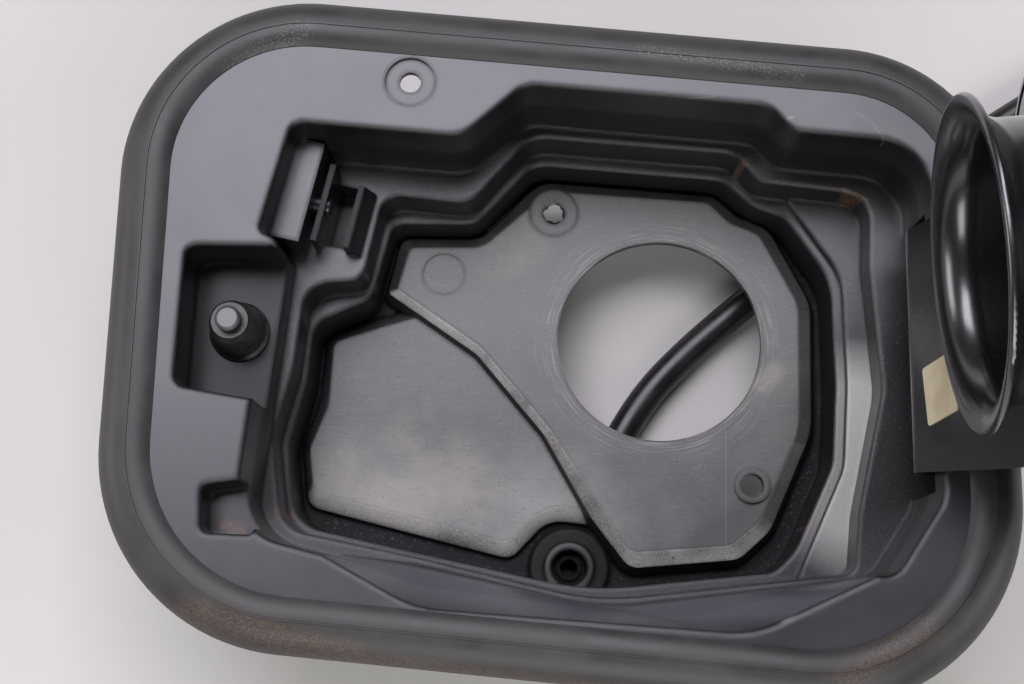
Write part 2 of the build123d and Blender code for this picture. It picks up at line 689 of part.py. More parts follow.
with BuildPart() as hinge_spring:
    # Bent leaf standing behind the barrel, its foot on the floor of the hinge box
    with BuildSketch(hinge_section.offset(-spring_high_end)):
        with BuildLine():
            Polyline((1.5, hinge_floor), (hinge_room - 0.2, hinge_floor), (barrel_radius + 1.2, 1.0),
                     (barrel_radius + 1.6, 3.0), (barrel_radius + 1.0, 3.1), (barrel_radius + 0.4, 1.0),
                     (hinge_room - 0.2 - spring_leaf, hinge_floor + spring_leaf),
                     (1.5, hinge_floor + spring_leaf), close=True)
        make_face()
    extrude(amount=spring_high_end - spring_low_end)

hinge_spring.part.label = "hinge_spring"
export_step(hinge_spring.part, "parts/hinge_spring.step")

with BuildPart() as lock_case:
    # Box behind the latch recess, open towards its cover
    with BuildSketch(bolt_plane.offset(case_face)):
        Rectangle(case_height, case_width)
    extrude(amount=-case_length)
    with BuildSketch(bolt_plane.offset(case_face - 2.0)):
        Rectangle(14.0, 14.0)
    extrude(amount=-case_length, mode=Mode.SUBTRACT)
    with BuildSketch(bolt_plane.offset(case_face)):
        Circle(bolt_diameter / 2 + bolt_clearance)
        with Locations((-screw_rise, screw_spread), (-screw_rise, -screw_spread)):
            Circle(lock_screw / 2 + 0.2)
    extrude(amount=-case_length, mode=Mode.SUBTRACT)

lock_case.part.label = "lock_case"
export_step(lock_case.part, "parts/lock_case.step")

with BuildPart() as lock_cover:
    # Plate that closes the lock's case
    with BuildSketch(bolt_plane.offset(case_face - case_length)):
        Rectangle(case_height, case_width)
        with Locations((-screw_rise, screw_spread), (-screw_rise, -screw_spread)):
            Circle(lock_screw / 2 + 0.2, mode=Mode.SUBTRACT)
    extrude(amount=-cover_thickness)

lock_cover.part.label = "lock_cover"
export_step(lock_cover.part, "parts/lock_cover.step")

with BuildPart() as lock_screws:
    # Two long screws through cover and case into the housing's posts
    with BuildSketch(bolt_plane.offset(case_face - case_length - cover_thickness)):
        with Locations((-screw_rise, screw_spread), (-screw_rise, -screw_spread)):
            Circle(lock_screw)
    extrude(amount=-2.2)
    with BuildSketch(bolt_plane.offset(case_face - case_length - cover_thickness)):
        with Locations((-screw_rise, screw_spread), (-screw_rise, -screw_spread)):
            Circle(lock_screw / 2)
    extrude(amount=case_length + cover_thickness + 2.6)

lock_screws.part.label = "lock_screws"
export_step(lock_screws.part, "parts/lock_screws.step")

with BuildPart() as lock_bolt:
    # Sliding pin with a collar inside the case and a rounded tip at the slot
    with BuildSketch(bolt_plane.offset(bolt_tip)):
        Circle(bolt_diameter / 2)
    extrude(amount=-bolt_length)
    with BuildSketch(bolt_plane.offset(bolt_tip - bolt_length + 2.0)):
        Circle(bolt_collar / 2)
    extrude(amount=3.0)
    fillet(lock_bolt.edges().sort_by_distance(bolt_plane.offset(bolt_tip).origin)[0], 1.2)

lock_bolt.part.label = "lock_bolt"
export_step(lock_bolt.part, "parts/lock_bolt.step")

# Route of the hose: straight runs joined by tangent arcs, at one height behind the housing
hose_start = (
    drain_x + spigot_way[0] * (spigot_length - spigot_overlap),
    drain_y + spigot_way[1] * (spigot_length - spigot_overlap),
)
hose_points = [Vector(x, y, 0) for x, y in [hose_start] + hose_way]
hose_radii = []
for before, here, after in zip(hose_points, hose_points[1:], hose_points[2:]):
    turn = (here - before).get_angle(after - here)
    hose_radii.append(0.45 * min((here - before).length, (after - here).length) / tan(radians(turn / 2)))

with BuildPart() as drain_hose:
    # Rubber tube pushed over the nipple
    with BuildLine(Plane.XY.offset(hose_height)) as hose_path:
        FilletPolyline(*[(p.X, p.Y) for p in hose_points], radius=hose_radii)
    with BuildSketch(Plane((*hose_start, hose_height), x_dir=(0, 0, -1), z_dir=spigot_way)):
        Circle(hose_diameter / 2)
        Circle(hose_bore / 2, mode=Mode.SUBTRACT)
    sweep(path=hose_path.wire())

hose_area = 3.14159265 * (hose_diameter ** 2 - hose_bore ** 2) / 4
print("hose bend radii", [round(r, 1) for r in hose_radii], "length", round(hose_path.wire().length, 1))
print("hose volume", drain_hose.part.volume, "section times length", hose_area * hose_path.wire().length)
drain_hose.part.label = "drain_hose"
export_step(drain_hose.part, "parts/drain_hose.step")

with BuildPart() as door_panel:
    # Crowned outer skin with a turned edge, and four studs that hold it to the frame
    with BuildSketch(door_plane.offset(panel_height)):
        with BuildLine():
            FilletPolyline(*door_corners(0), radius=corner_radii(-panel_gap), close=True)
        make_face()
    extrude(amount=panel_depth + 5.0)
    with BuildSketch(door_section.offset(-200.0)):
        with Locations((panel_middle, panel_height + panel_depth - panel_crown)):
            Circle(panel_crown)
    extrude(amount=400.0, mode=Mode.INTERSECT)
    fillet(door_panel.faces().filter_by(GeomType.CYLINDER).sort_by(SortBy.AREA)[-1].edges(), panel_round)
    panel_back = door_panel.faces().filter_by(GeomType.PLANE).sort_by(SortBy.AREA)[-1]
    offset(amount=-panel_skin, openings=panel_back)
    for x, y in stud_places:
        reach, along = on_door(x, y)
        sag = (reach - panel_middle) ** 2 / (2 * panel_crown)
        with BuildSketch(door_plane.offset(plate_height - 4.0)):
            with Locations((reach, along)):
                Circle(stud_diameter / 2)
        extrude(amount=panel_height + panel_depth - panel_skin / 2 - sag - plate_height + 4.0)

door_panel.part.label = "door_panel"
export_step(door_panel.part, "parts/door_panel.step")
print("panel", door_panel.part.volume, door_panel.part.is_valid, len(door_panel.part.solids()))

with BuildPart() as door_frame:
    # Plate behind the panel
    with BuildSketch(door_plane.offset(plate_height)):
        with BuildLine():
            FilletPolyline(*door_corners(panel_skin + 1.5), radius=corner_radii(-panel_gap - 3.0), close=True)
        make_face()
    extrude(amount=plate_thickness)
    # Gooseneck arm and hinge barrel
    with BuildSketch(door_section.offset(arm_wide_end)):
        with BuildLine():
            FilletPolyline((0, 0), (arm_heel, arm_start), (arm_reach, arm_rise), radius=6.0)
            offset(amount=arm_thickness / 2)
        make_face()
        Circle(barrel_radius)
    extrude(amount=arm_high_end - arm_wide_end)
    with BuildSketch(door_section.offset(arm_wide_end)):
        Circle(pin_diameter / 2 + running_clearance)
    extrude(amount=arm_high_end - arm_wide_end, mode=Mode.SUBTRACT)
    # Lower edge of the arm, spreading from the barrel towards the plate
    with BuildSketch(door_plane.offset(plate_height - 0.5)):
        with BuildLine():
            Polyline((-3 * barrel_radius, -arm_low_end), (barrel_radius, -arm_low_end),
                     (arm_spread, -arm_wide_end), (arm_spread, 10.0 - arm_wide_end),
                     (-3 * barrel_radius, 10.0 - arm_wide_end), close=True)
        make_face()
    extrude(amount=arm_start - 2 * arm_thickness - plate_height, mode=Mode.SUBTRACT)
    # Room for the cup, then the holes for studs and screws
    with BuildSketch(cup_section):
        with BuildLine():
            Polyline((0, cup_rim_height - 4.0), (cup_rim_radius + 0.8, cup_rim_height - 4.0),
                     (cup_rim_radius + 0.8, cup_rim_height + 2.4),
                     (cup_neck_radius + 2.4, cup_rim_height + 5.6),
                     (cup_neck_radius + 0.8, cup_rim_height + cup_flare + 1.0),
                     (cup_neck_radius + 0.8, plate_height - 4.0), (0, plate_height - 4.0), close=True)
        make_face()
    revolve(axis=cup_axis, mode=Mode.SUBTRACT)
    with BuildSketch(door_plane.offset(plate_height)):
        with Locations((cup_reach, -cup_along)):
            Circle(cup_neck_radius + 1.2)
    extrude(amount=-7.0, mode=Mode.SUBTRACT)
    with BuildSketch(door_plane.offset(plate_height)):
        with Locations(*[on_door(x, y) for x, y in stud_places]):
            Circle(stud_diameter / 2 + 0.2)
        with Locations((cup_reach, -cup_along)):
            with PolarLocations(cup_screw_circle / 2, 3):
                Circle(small_screw / 2 + running_clearance)
    extrude(amount=plate_thickness, mode=Mode.SUBTRACT)
    with BuildSketch(striker_plane.offset(striker_top)):
        with Locations((-5.0, 0), (8.0, 0)):
            Circle(small_screw / 2 + running_clearance)
    extrude(amount=plate_thickness, mode=Mode.SUBTRACT)

door_frame.part.label = "door_frame"
export_step(door_frame.part, "parts/door_frame.step")
print("frame", door_frame.part.volume, door_frame.part.is_valid, len(door_frame.part.solids()))

with BuildPart() as cap_cup:
    # Flared cup: a neck that leans on the plate, and a rolled mouth with a soft lip
    with BuildSketch(cup_section):
        with BuildLine():
            Polyline((cup_neck_radius - cup_wall, plate_height + 3.0), (cup_neck_radius, plate_height + 3.0),
                     (cup_neck_radius, cup_rim_height + cup_flare))
            ThreePointArc((cup_neck_radius, cup_rim_height + cup_flare),
                          (cup_neck_radius + 1.6, cup_rim_height + 3.8),
                          (cup_rim_radius, cup_rim_height + 1.4))
            ThreePointArc((cup_rim_radius, cup_rim_height + 1.4),
                          (cup_rim_radius - 0.2, cup_rim_height + 0.2),
                          (cup_rim_radius - 1.2, cup_rim_height))
            ThreePointArc((cup_rim_radius - 1.2, cup_rim_height),
                          (cup_neck_radius - 0.5, cup_rim_height + 2.7),
                          (cup_neck_radius - cup_wall, cup_rim_height + cup_flare + 1.0))
            Line((cup_neck_radius - cup_wall, cup_rim_height + cup_flare + 1.0),
                 (cup_neck_radius - cup_wall, plate_height + 3.0))
        make_face()
    revolve(axis=cup_axis)
    # Foot cut to the plate, and the flat bottom
    with BuildSketch(door_plane.offset(plate_height)):
        with Locations((cup_reach, -cup_along)):
            Circle(cup_rim_radius)
    extrude(amount=10.0, mode=Mode.SUBTRACT)
    with BuildSketch(door_plane.offset(plate_height)):
        with Locations((cup_reach, -cup_along)):
            Circle(cup_neck_radius - cup_wall / 2)
    extrude(amount=-cup_wall)
    with BuildSketch(door_plane.offset(plate_height)):
        with Locations((cup_reach, -cup_along)):
            with PolarLocations(cup_screw_circle / 2, 3):
                Circle(small_screw / 2 + 0.3)
    extrude(amount=-cup_wall, mode=Mode.SUBTRACT)

cap_cup.part.label = "cap_cup"
export_step(cap_cup.part, "parts/cap_cup.step")
print("cup", cap_cup.part.volume, cap_cup.part.is_valid, len(cap_cup.part.solids()))

with BuildPart() as cup_screws:
    # Three screws through the cup's bottom into the plate
    with BuildSketch(door_plane.offset(plate_height - cup_wall)):
        with Locations((cup_reach, -cup_along)):
            with PolarLocations(cup_screw_circle / 2, 3):
                Circle(small_screw)
    extrude(amount=-2.2)
    with BuildSketch(door_plane.offset(plate_height - cup_wall)):
        with Locations((cup_reach, -cup_along)):
            with PolarLocations(cup_screw_circle / 2, 3):
                Circle(small_screw / 2)
    extrude(amount=cup_wall + plate_thickness - 0.2)

cup_screws.part.label = "cup_screws"
export_step(cup_screws.part, "parts/cup_screws.step")

with BuildPart() as fuel_label:
    # Thin plate stuck to the arm's visible face, a little askew
    with BuildSketch(label_plane):
        RectangleRounded(label_width, label_length, 0.8, rotation=label_turn)
    extrude(amount=label_thickness)

fuel_label.part.label = "fuel_label"
export_step(fuel_label.part, "parts/fuel_label.step")

with BuildPart() as door_striker:
    # Upright plate with an eye for the bolt, and its foot against the door's plate
    with BuildSketch(striker_plane.offset(-4.5)):
        with Locations((striker_middle, 0)):
            Rectangle(striker_thickness, striker_width)
    extrude(amount=striker_top + 4.5)
    with BuildSketch(striker_plane.offset(striker_top)):
        with Locations((1.5, 0)):
            RectangleRounded(20.0, striker_width, 2.0)
        with Locations((-5.0, 0), (8.0, 0)):
            Circle(small_screw / 2 + 0.3, mode=Mode.SUBTRACT)
    extrude(amount=-2.0)
    with BuildSketch(Plane(striker_plane.origin, x_dir=striker_plane.z_dir, z_dir=striker_plane.x_dir)):
        Circle(bolt_diameter / 2 + 1.1)
    extrude(amount=6.0, both=True, mode=Mode.SUBTRACT)

door_striker.part.label = "door_striker"
export_step(door_striker.part, "parts/door_striker.step")
print("striker", door_striker.part.volume, door_striker.part.is_valid, len(door_striker.part.solids()))

with BuildPart() as striker_screws:
    # Two screws through the striker's foot into the plate
    with BuildSketch(striker_plane.offset(striker_top - 2.0)):
        with Locations((-5.0, 0), (8.0, 0)):
            Circle(small_screw)
    extrude(amount=-2.0)
    with BuildSketch(striker_plane.offset(striker_top - 2.0)):
        with Locations((-5.0, 0), (8.0, 0)):
            Circle(small_screw / 2)
    extrude(amount=plate_thickness + 1.8)

striker_screws.part.label = "striker_screws"
export_step(striker_screws.part, "parts/striker_screws.step")

with BuildPart() as panel_nuts:
    # Push-on nuts that hold the panel's studs to the plate
    with BuildSketch(door_plane.offset(plate_height)):
        with Locations(*[on_door(x, y) for x, y in stud_places]):
            Circle(stud_diameter / 2 + 3.0)
            Circle(stud_diameter / 2, mode=Mode.SUBTRACT)
    extrude(amount=-2.0)

panel_nuts.part.label = "panel_nuts"
export_step(panel_nuts.part, "parts/panel_nuts.step")
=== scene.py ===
import math
import bpy
import numpy as np
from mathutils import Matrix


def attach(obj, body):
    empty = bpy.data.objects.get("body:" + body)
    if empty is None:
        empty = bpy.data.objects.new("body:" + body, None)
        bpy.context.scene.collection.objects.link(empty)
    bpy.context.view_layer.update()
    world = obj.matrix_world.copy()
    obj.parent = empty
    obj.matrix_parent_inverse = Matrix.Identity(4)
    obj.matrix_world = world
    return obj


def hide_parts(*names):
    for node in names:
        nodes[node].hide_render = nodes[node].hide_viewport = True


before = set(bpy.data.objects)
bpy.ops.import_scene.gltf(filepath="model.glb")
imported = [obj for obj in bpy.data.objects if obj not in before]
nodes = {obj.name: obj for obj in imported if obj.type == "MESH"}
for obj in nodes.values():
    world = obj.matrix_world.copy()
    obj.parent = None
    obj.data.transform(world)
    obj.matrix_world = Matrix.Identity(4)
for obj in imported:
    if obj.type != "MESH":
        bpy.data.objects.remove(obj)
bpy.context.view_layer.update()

# Housing: one black polypropylene moulding, satin on the flange and sand-textured on the tiers below it.
# Road dust lies on its level faces, the floors are scuffed by the filler neck and stained by fuel.


def srgb(code):
    """Linear RGBA of an sRGB hex colour."""
    parts = [int(code[i:i + 2], 16) / 255 for i in (1, 3, 5)]
    return tuple(c / 12.92 if c <= 0.04045 else ((c + 0.055) / 1.055) ** 2.4 for c in parts) + (1.0,)


def add(tree, kind, inputs=(), out=0, **settings):
    """New shader node with its settings; an input given a socket is linked, any other value is set.

    Gives the node's first output, or the one that out names.
    """
    made = tree.nodes.new(kind)
    for name, value in settings.items():
        setattr(made, name, value)
    for name, value in dict(inputs).items():
        if isinstance(value, bpy.types.NodeSocket):
            tree.links.new(value, made.inputs[name])
        else:
            made.inputs[name].default_value = value
    return made.outputs[out]


def new_material(name, **values):
    """Material, its tree, its shader with these inputs set, and the object's own coordinates."""
    material = bpy.data.materials.new(name)
    material.use_nodes = True
    tree = material.node_tree
    shader = tree.nodes["Principled BSDF"]
    for socket, value in values.items():
        shader.inputs[socket.replace("_", " ")].default_value = value
    return material, tree, shader, add(tree, "ShaderNodeTexCoord", out="Object")


def feed(tree, shader, **sources):
    """Links outputs into the shader's inputs, whose names are written with _ for a space."""
    for socket, source in sources.items():
        tree.links.new(source, shader.inputs[socket.replace("_", " ")])


def coat(tree, shader, code, layers):
    """Base colour of the shader: a hex code with layers (factor, hex code) over it, the last uppermost."""
    colour = srgb(code)
    for factor, over in layers:
        colour = add(tree, "ShaderNodeMix", {"Factor": factor, "A": colour, "B": srgb(over)}, "Result",
                     data_type="RGBA")
    feed(tree, shader, Base_Color=colour)


def strokes(tree, flat, marks, strength):
    """Straight marks seen from above, each (x, y, end x, end y, half width) in mm.

    The mask has its full strength within a third of the half width from the line, and falls to none at the
    half width. A mark of no length is a dot.
    """
    best = None
    for x, y, end_x, end_y, width in marks:
        way = np.array([end_x - x, end_y - y, 0.0]) / 1000
        rest = add(tree, "ShaderNodeVectorMath", {0: flat, 1: (x / 1000, y / 1000, 0)}, operation="SUBTRACT")
        along = add(tree, "ShaderNodeVectorMath", {0: rest, 1: way / max(way @ way, 1e-12)}, "Value",
                    operation="DOT_PRODUCT")
        held = add(tree, "ShaderNodeClamp", {"Value": along})
        foot = add(tree, "ShaderNodeVectorMath", {0: way, "Scale": held}, operation="SCALE")
        away = add(tree, "ShaderNodeVectorMath", {0: rest, 1: foot}, "Value", operation="DISTANCE")
        near = add(tree, "ShaderNodeMapRange", {"Value": away, "From Min": width / 3000,
                                                "From Max": width / 1000, "To Min": strength, "To Max": 0.0})
        best = near if best is None else add(tree, "ShaderNodeMath", {0: best, 1: near}, operation="MAXIMUM")
    return best


def within(tree, height, rise, fall, inside):
    """Mask that is inside between two heights and 0 beyond them; rise and fall are its soft ends, in mm."""
    begun = add(tree, "ShaderNodeMapRange", {"Value": height, "From Min": rise[0] / 1000,
                                             "From Max": rise[1] / 1000, "To Min": 0.0, "To Max": inside})
    return add(tree, "ShaderNodeMapRange", {"Value": height, "From Min": fall[0] / 1000,
                                            "From Max": fall[1] / 1000, "To Min": begun, "To Max": 0.0})


def dress(material, *names):
    """Gives CAD nodes their material."""
    for name in names:
        nodes[name].data.materials.clear()
        nodes[name].data.materials.append(material)


shine_level, recess_shine, moat_shine = 0.62, 0.22, 0.1
plastic, tree, shader, place = new_material("moulded_black_polypropylene", Specular_IOR_Level=shine_level)
flat = add(tree, "ShaderNodeVectorMath", {0: place, 1: (1, 1, 0)}, operation="MULTIPLY")
height = add(tree, "ShaderNodeSeparateXYZ", {"Vector": place}, "Z")
normal = add(tree, "ShaderNodeTexCoord", out="Normal")
facing = add(tree, "ShaderNodeSeparateXYZ", {"Vector": normal}, "Z")
leaning = add(tree, "ShaderNodeSeparateXYZ", {"Vector": normal}, "Y")
level = add(tree, "ShaderNodeMapRange", {"Value": facing, "From Min": 0.75, "From Max": 0.98})
slanted = add(tree, "ShaderNodeMapRange", {"Value": facing, "From Min": 0.4, "From Max": 0.8, "To Max": 0.22})
# The floors lie between -6 and 4 mm and the tiers from 4 to 25 mm; the flange, at 47 mm, is wiped cleaner
# than both, and the moat, at -9 mm, is washed black by the water that drains there.
floors = within(tree, height, (-7.5, -5.5), (3.0, 6.0), 1.0)
tiers = add(tree, "ShaderNodeMapRange", {"Value": height, "From Min": 0.022, "From Max": 0.028,
                                         "To Min": 1.0, "To Max": 0.0})
# Clouds of dust 25 mm across, specks of 0.7 mm, mould grain of 0.2 mm.
clouds = add(tree, "ShaderNodeTexNoise", {"Vector": place, "Scale": 40.0, "Detail": 4.0, "Roughness": 0.62})
specks = add(tree, "ShaderNodeTexNoise", {"Vector": place, "Scale": 1500.0, "Detail": 2.0, "Roughness": 0.6})
grain = add(tree, "ShaderNodeTexNoise", {"Vector": place, "Scale": 4500.0, "Detail": 1.0})
# Dust lies as a cloudy film on level faces, thin below the flange, and as crumbs on the tiers' slants; the
# film's blue tint is painted sky reflection.
film = add(tree, "ShaderNodeMapRange", {"Value": clouds, "From Min": 0.3, "From Max": 0.72,
                                        "To Min": 0.3, "To Max": 0.7})
film = add(tree, "ShaderNodeMath", {0: film, 1: level}, operation="MULTIPLY")
dust_and_sky_tint = add(tree, "ShaderNodeMapRange", {"Value": height, "From Min": 0.038, "From Max": 0.043,
                                            "To Min": 0.1, "To Max": film})
floor_film = add(tree, "ShaderNodeMath", {0: film, 1: floors}, operation="MULTIPLY")
tier_slant = add(tree, "ShaderNodeMath", {0: slanted, 1: tiers}, operation="MULTIPLY")
crumbs = add(tree, "ShaderNodeMapRange", {"Value": specks, "From Min": 0.6, "From Max": 0.72,
                                          "To Min": 0.0, "To Max": tier_slant})
# Bevels that lean towards the lower edge, facing the fill light, carry a painted highlight in patches, with
# painted glints as fine as the grain.
lit_bevels = add(tree, "ShaderNodeMapRange", {"Value": leaning, "From Min": -0.12, "From Max": -0.4,
                                          "To Min": 0.0, "To Max": floors})
lit_bevels = add(tree, "ShaderNodeMapRange", {"Value": facing, "From Min": 0.3, "From Max": 0.7,
                                          "To Min": 0.0, "To Max": lit_bevels})
bevel_glints = add(tree, "ShaderNodeMapRange", {"Value": grain, "From Min": 0.55, "From Max": 0.72,
                                          "To Min": 0.0, "To Max": lit_bevels})
bevel_highlight = add(tree, "ShaderNodeMapRange", {"Value": clouds, "From Min": 0.25, "From Max": 0.6,
                                          "To Min": 0.0, "To Max": lit_bevels})
# Pits and specks of tar, 0.4 mm across.
pits = add(tree, "ShaderNodeMapRange", {"Value": specks, "From Min": 0.34, "From Max": 0.26,
                                        "To Min": 0.0, "To Max": floors})
# Dashes left by brushing: 6 mm long and 0.17 mm wide, in two directions.
dashes = []
for slope in (0.5, -0.9):
    brushed = add(tree, "ShaderNodeMapping", {"Vector": place, "Rotation": (0, 0, slope),
                                              "Scale": (170, 6000, 60)})
    brushed = add(tree, "ShaderNodeTexNoise", {"Vector": brushed, "Scale": 1.0, "Detail": 1.0})
    dashes.append(add(tree, "ShaderNodeMapRange", {"Value": brushed, "From Min": 0.66, "From Max": 0.76,
                                                   "To Min": 0.0, "To Max": floor_film}))
# Scuffs that run round the filler hole up to 37 mm from its middle: 0.4 mm wide, a fourteenth of a turn long.
radius = add(tree, "ShaderNodeVectorMath", {0: flat}, "Value", operation="LENGTH")
bearing = add(tree, "ShaderNodeTexGradient", {"Vector": flat}, "Fac", gradient_type="RADIAL")
around = add(tree, "ShaderNodeCombineXYZ", {"X": radius, "Y": bearing})
around = add(tree, "ShaderNodeMapping", {"Vector": around, "Scale": (2600, 14, 1)})
scuffs = add(tree, "ShaderNodeTexNoise", {"Vector": around, "Scale": 1.0, "Detail": 2.0})
rim_zone = add(tree, "ShaderNodeMapRange", {"Value": radius, "From Min": 0.030, "From Max": 0.037,
                                            "To Min": 0.7, "To Max": 0.0})
rim_zone = add(tree, "ShaderNodeMath", {0: rim_zone, 1: floors}, operation="MULTIPLY")
scuffs = add(tree, "ShaderNodeMapRange", {"Value": scuffs, "From Min": 0.52, "From Max": 0.7,
                                          "To Min": 0.0, "To Max": rim_zone})
# Fuel that dried in blotches, and rust that dripped from the hinge and rim.
dried = strokes(tree, flat, [(-86, -46, -73, -50, 9), (-73, -50, -50, -54, 8), (-66, -33, -52, -44, 12),
                             (-48, 20, -40, 26, 9), (30, -10, 33, -6, 4)], 0.28)
dried = add(tree, "ShaderNodeMapRange", {"Value": clouds, "From Min": 0.4, "From Max": 0.65,
                                         "To Min": 0.0, "To Max": dried})
rust = strokes(tree, flat, [(43.3, -49.9, 43.5, -50.1, 0.9), (17.0, 48.2, 18.6, 47.8, 0.8),
                            (46.3, 43.0, 53.1, 40.4, 1.0), (-98.6, -60.0, -97.0, -61.0, 1.2),
                            (-108.6, -67.0, -104.6, -67.6, 2.0)], 0.5)
rust = add(tree, "ShaderNodeMapRange", {"Value": specks, "From Min": 0.4, "From Max": 0.56,
                                        "To Min": 0.0, "To Max": rust})
# The mould's parting line, dark, and single pale scratches.
parting = strokes(tree, flat, [(36.4, 13.4, 57.0, 13.2, 0.22)], 0.6)
scratches = strokes(tree, flat, [(20.7, -24.0, 22.9, -56.0, 0.14), (29.5, -11.5, 32.5, -8.5, 0.2),
                                 (0.0, 55.2, 6.5, 55.9, 0.14), (43.7, 54.9, 48.0, 52.4, 0.14),
                                 (48.0, 52.4, 51.3, 48.2, 0.14), (26.0, 51.8, 27.2, 52.2, 0.5)], 0.28)
# The platform at the hinge side, 9 mm up, is painted pale as a broad highlight, with painted glints as fine
# as the grain.
platform_highlight = strokes(tree, flat, [(55.0, -16.0, 54.0, -44.0, 20.0)], 0.75)
platform = within(tree, height, (7.5, 8.5), (10.5, 11.0), level)
platform_highlight = add(tree, "ShaderNodeMath", {0: platform_highlight, 1: platform}, operation="MULTIPLY")
platform_glints = add(tree, "ShaderNodeMapRange", {"Value": grain, "From Min": 0.52, "From Max": 0.7,
                                          "To Min": 0.0, "To Max": platform_highlight})
# Silt dried pale along the lower side of the lower floor.
silt = strokes(tree, flat, [(-84.0, -58.0, -25.0, -58.0, 28.0)], 1.2)
silt = add(tree, "ShaderNodeMath", {0: silt, 1: floor_film}, operation="MULTIPLY")
# The facet below the basin is painted lilac grey as a reflection of the sky; a corner of the upper floor and
# its screw seat are darkened with painted shade, and the sump around the drain, wet, is darkened with painted
# shade too.
facet_reflection = strokes(tree, flat, [(-77.0, -73.8, -22.0, -79.0, 9.0), (-22.0, -79.0, 44.0, -71.0, 9.0)], 0.5)
facet_reflection = within(tree, height, (20.0, 24.0), (45.5, 46.5), facet_reflection)
screw_x, screw_y = -33.5, 35.0
# Painted shade in the corner below the step and around the screw seat.
corner_shade = strokes(tree, flat, [(15.0, -56.5, 29.0, -47.0, 6.5),
                             (screw_x, screw_y, screw_x, screw_y, 9.0)], 0.45)
# Painted shade darkens the wet sump where it lies below the floors.
wet_sump_shade = strokes(tree, flat, [(-19.6, -66.0, -19.6, -66.0, 15.0)], 0.85)
wet_sump_shade = add(tree, "ShaderNodeMapRange", {"Value": height, "From Min": -0.0045, "From Max": -0.0035,
                                       "To Min": wet_sump_shade, "To Max": 0.0})
coat(tree, shader, "#151416", [
    (dust_and_sky_tint, "#3a393f"), (floor_film, "#6a6967"), (silt, "#969491"), (crumbs, "#96938f"),
    (bevel_highlight, "#a5a3a1"), (bevel_glints, "#d6d4d1"), (pits, "#1a1918"), (platform_highlight, "#b2b0ad"), (platform_glints, "#d3d1ce"),
    (dashes[0], "#191817"), (dashes[1], "#8b8985"), (scuffs, "#8f8d8a"), (corner_shade, "#1b1a1a"), (wet_sump_shade, "#0e0e0e"),
    (dried, "#a39c8e"), (facet_reflection, "#6a6670"), (scratches, "#9a9793"), (parting, "#0c0c0c"), (rust, "#7d5a40"),
])
# The moat and the recesses at 25 to 34 mm are matt from the mould and shine less than the rest.
shine = add(tree, "ShaderNodeMapRange", {"Value": height, "From Min": -0.0075, "From Max": -0.0055,
                                         "To Min": moat_shine, "To Max": shine_level})
shine = add(tree, "ShaderNodeMapRange", {"Value": height, "From Min": 0.024, "From Max": 0.026,
                                         "To Min": shine, "To Max": recess_shine})
shine = add(tree, "ShaderNodeMapRange", {"Value": height, "From Min": 0.033, "From Max": 0.035,
                                         "To Min": shine, "To Max": shine_level})
rough = add(tree, "ShaderNodeMapRange", {"Value": clouds, "From Min": 0.3, "From Max": 0.7,
                                         "To Min": 0.27, "To Max": 0.36})
rough = add(tree, "ShaderNodeMath", {0: floors, 1: 0.08, 2: rough}, operation="MULTIPLY_ADD")
# The tiers' sand texture stands out more than the flange's grain, and the edges are softened by 1.6 mm.
sand = add(tree, "ShaderNodeMapRange", {"Value": tiers, "To Min": 0.03, "To Max": 0.1})
soft_edge = add(tree, "ShaderNodeBevel", {"Radius": 0.0016}, samples=2)
bump = add(tree, "ShaderNodeBump", {"Height": grain, "Strength": sand, "Distance": 0.0002,
                                    "Normal": soft_edge})
feed(tree, shader, Specular_IOR_Level=shine, Roughness=rough, Normal=bump)
dress(plastic, "housing")

# Torn thread in the upper floor's screw hole: plastic that the screw cut and left behind when it was drawn.
# A thin ragged collar of the housing's polypropylene on the bore's wall.
bore_radius = 3.25


def torn_collar(x, y, radius, count=120):
    """Points and faces of a ragged collar inside a bore at (x, y), in mm, over turn and ring.

    A ring's radius is the bore's and a little more, which is sunk in the wall, less the ring's share of the
    fray: a constant with waves of 3, 7 and 17 periods a turn, and never under the least fray. Its depth has
    the same share of a wave of 5 periods.
    """
    sunk, least, waver = 0.02, 0.12, 0.12
    turn = np.linspace(0, 2 * np.pi, count, endpoint=False)
    fray = 0.55 + 0.3 * np.sin(3 * turn + 0.6) + 0.22 * np.sin(7 * turn + 2.0) + 0.16 * np.sin(17 * turn)
    share = np.array([0.0, 0.5, 1.0, 0.5, 0.0])[:, None]
    depth = np.array([-0.75, -1.0, -1.2, -1.45, -1.9])[:, None]
    reach = radius + sunk - share * np.clip(fray, least, None)
    sag = depth + share * waver * np.sin(5 * turn)
    points = np.stack([x + reach * np.cos(turn), y + reach * np.sin(turn), sag], axis=-1)
    row, column = np.meshgrid(np.arange(len(depth) - 1), np.arange(count), indexing="ij")
    here, beside = row * count + column, row * count + (column + 1) % count
    faces = np.stack([here, beside, beside + count, here + count], axis=-1)
    return points.reshape(-1, 3), faces.reshape(-1, 4)


def new_piece(name, points, faces, material):
    """Mesh object of these points, in metres, and faces, linked to the scene."""
    mesh = bpy.data.meshes.new(name)
    mesh.from_pydata(points.tolist(), [], faces.tolist())
    mesh.materials.append(material)
    piece = bpy.data.objects.new(name, mesh)
    bpy.context.collection.objects.link(piece)
    return piece


collar, collar_faces = torn_collar(screw_x, screw_y, bore_radius)
burr = new_piece("torn_screw_thread", collar / 1000, collar_faces, plastic)
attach(burr, "pocket")

# Seal: one ring of black EPDM rubber pressed over the flange's edge, its crest crowned, its skirt dusty.
# Grit has settled behind the crest, and rusty mud on the skirt's lower side.
rubber, tree, shader, place = new_material("satin_black_epdm_rubber", Specular_IOR_Level=0.5)
flat = add(tree, "ShaderNodeVectorMath", {0: place, 1: (1, 1, 0)}, operation="MULTIPLY")
